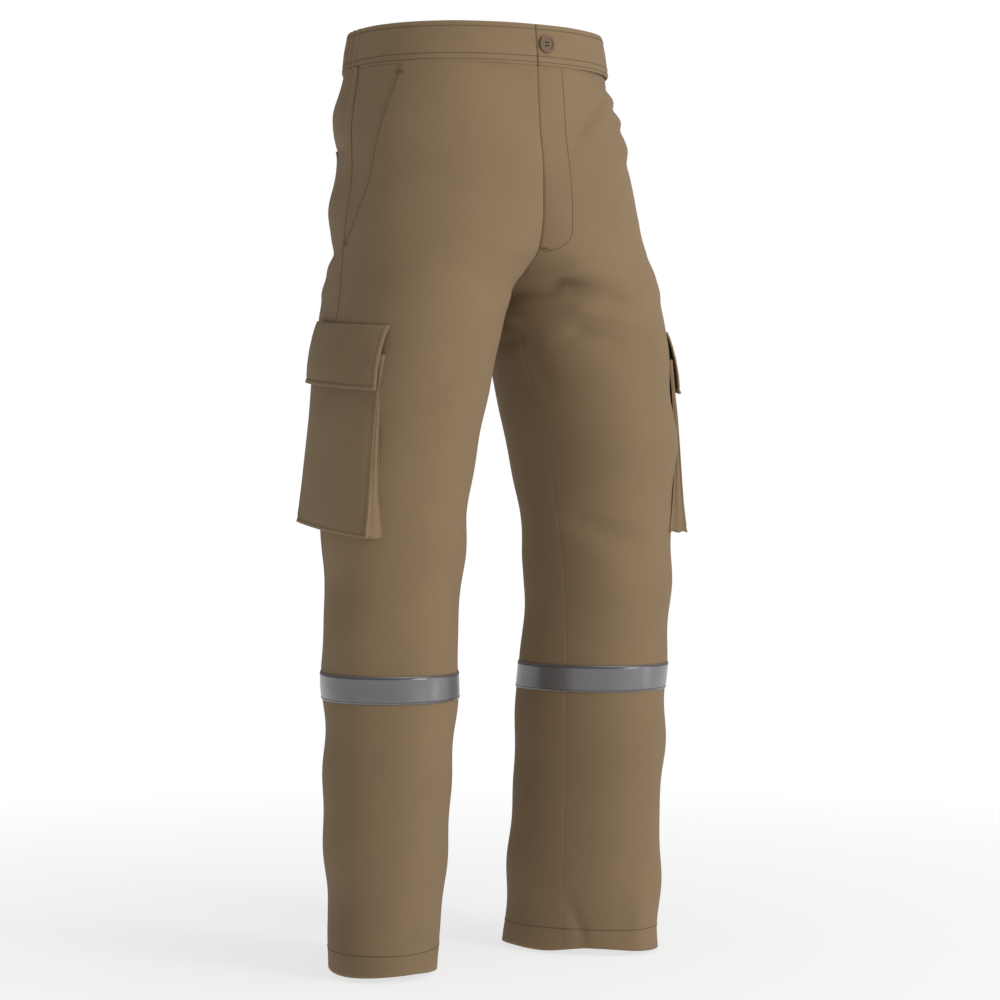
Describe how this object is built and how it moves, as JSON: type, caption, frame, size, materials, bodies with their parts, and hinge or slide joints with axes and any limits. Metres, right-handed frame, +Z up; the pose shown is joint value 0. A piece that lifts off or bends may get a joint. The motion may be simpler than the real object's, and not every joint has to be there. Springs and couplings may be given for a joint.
{
  "type": "bunker pants",
  "caption": "Tan fire-service work trousers with flapped bellows pockets on the thighs, a zip fly with one button, a part-elastic waistband and a reflective band round each leg.",
  "frame": {"origin": "on the floor between the two hems, under the middle of the garment's outline", "axes": "+Z up from the hems to the waistband, -Y the way the wearer faces, +X to the wearer's left"},
  "size_m": [0.451, 0.2881, 1.05],
  "materials": {
    "shell_cloth": "tan twill work cloth, matt with a faint sheen",
    "pocketing": "plain woven pocketing",
    "interlining": "stiff non-woven",
    "elastic": "ribbed knitted elastic",
    "reflective_tape": "silver-grey retroreflective tape, satin",
    "hook_and_loop": "napped hook and loop tape",
    "zip_tape": "herringbone zip tape",
    "zip_metal": "antique brass, satin",
    "button": "brown horn-look plastic, half gloss",
    "thread": "dark brown spun thread",
    "label": "blank satin label"
  },
  "bodies": {
    "trousers": {"back_panel_left": "shell_cloth", "back_panel_right": "shell_cloth", "bar_tacks": "thread", "care_label": "label", "cargo_gusset_left": "shell_cloth", "cargo_gusset_right": "shell_cloth", "cargo_pocket_face_left": "shell_cloth", "cargo_pocket_face_right": "shell_cloth", "fly_facing": "shell_cloth", "fly_shield": "shell_cloth", "front_panel_left": "shell_cloth", "front_panel_right": "shell_cloth", "hand_pocket_bag_left": "pocketing", "hand_pocket_bag_right": "pocketing", "hem_facing_left": "shell_cloth", "hem_facing_right": "shell_cloth", "hip_facing_left": "shell_cloth", "hip_facing_right": "shell_cloth", "pocket_loop_tape_left": "hook_and_loop", "pocket_loop_tape_right": "hook_and_loop", "reflective_band_left": "reflective_tape", "reflective_band_right": "reflective_tape", "seat_pocket_left": "shell_cloth", "seat_pocket_right": "shell_cloth", "waistband_elastic": "elastic", "waistband_facing_back": "shell_cloth", "waistband_facing_left": "shell_cloth", "waistband_facing_right": "shell_cloth", "waistband_interlining_left": "interlining", "waistband_interlining_right": "interlining", "waistband_outer_back": "shell_cloth", "waistband_outer_left": "shell_cloth", "waistband_outer_right": "shell_cloth", "waistband_underlap": "shell_cloth", "zip_stops": "zip_metal", "zip_tape_left": "zip_tape", "zip_tape_right": "zip_tape", "zip_teeth_left": "zip_metal", "zip_teeth_right": "zip_metal"},
    "cargo_flap_left": {"cargo_flap_left": "shell_cloth", "flap_hook_tape_left": "hook_and_loop"},
    "cargo_flap_right": {"cargo_flap_right": "shell_cloth", "flap_hook_tape_right": "hook_and_loop"},
    "seat_flap_left": {"seat_flap_left": "shell_cloth"},
    "seat_flap_right": {"seat_flap_right": "shell_cloth"},
    "zip_slider": {"zip_slider": "zip_metal"},
    "zip_pull": {"zip_pull": "zip_metal"},
    "waist_button": {"waist_button": "button", "button_thread": "thread"}
  },
  "joints": [
    {"name": "cargo_flap_left_lift", "type": "hinge", "parent": "trousers", "child": "cargo_flap_left", "pos_m": [0.2056, -0.0345, 0.717], "axis": [0, -0.9976, -0.0698], "range_deg": [0, 140]},
    {"name": "cargo_flap_right_lift", "type": "hinge", "parent": "trousers", "child": "cargo_flap_right", "pos_m": [-0.2056, -0.0345, 0.717], "axis": [0, 0.9976, 0.0698], "range_deg": [0, 140]},
    {"name": "seat_flap_left_lift", "type": "hinge", "parent": "trousers", "child": "seat_flap_left", "pos_m": [0.08685, 0.13492, 0.92], "axis": [0.9268, -0.3756, 0], "range_deg": [0, 130]},
    {"name": "seat_flap_right_lift", "type": "hinge", "parent": "trousers", "child": "seat_flap_right", "pos_m": [-0.08685, 0.13492, 0.92], "axis": [0.9268, 0.3756, 0], "range_deg": [0, 130]},
    {"name": "zip_slide", "type": "slide", "parent": "trousers", "child": "zip_slider", "axis": [0, -0.0993, -0.9951], "range_m": [0, 0.1387], "deforming": ["zip_teeth_left", "zip_teeth_right"]},
    {"name": "zip_pull_lift", "type": "hinge", "parent": "zip_slider", "child": "zip_pull", "pos_m": [0.014, -0.11517, 0.98639], "axis": [-1, 0, 0], "range_deg": [0, 8]},
    {"name": "button_twist", "type": "hinge", "parent": "trousers", "child": "waist_button", "pos_m": [0.011, -0.12243, 1.02763], "axis": [0, -1, 0], "range_deg": [-45, 45]}
  ]
}
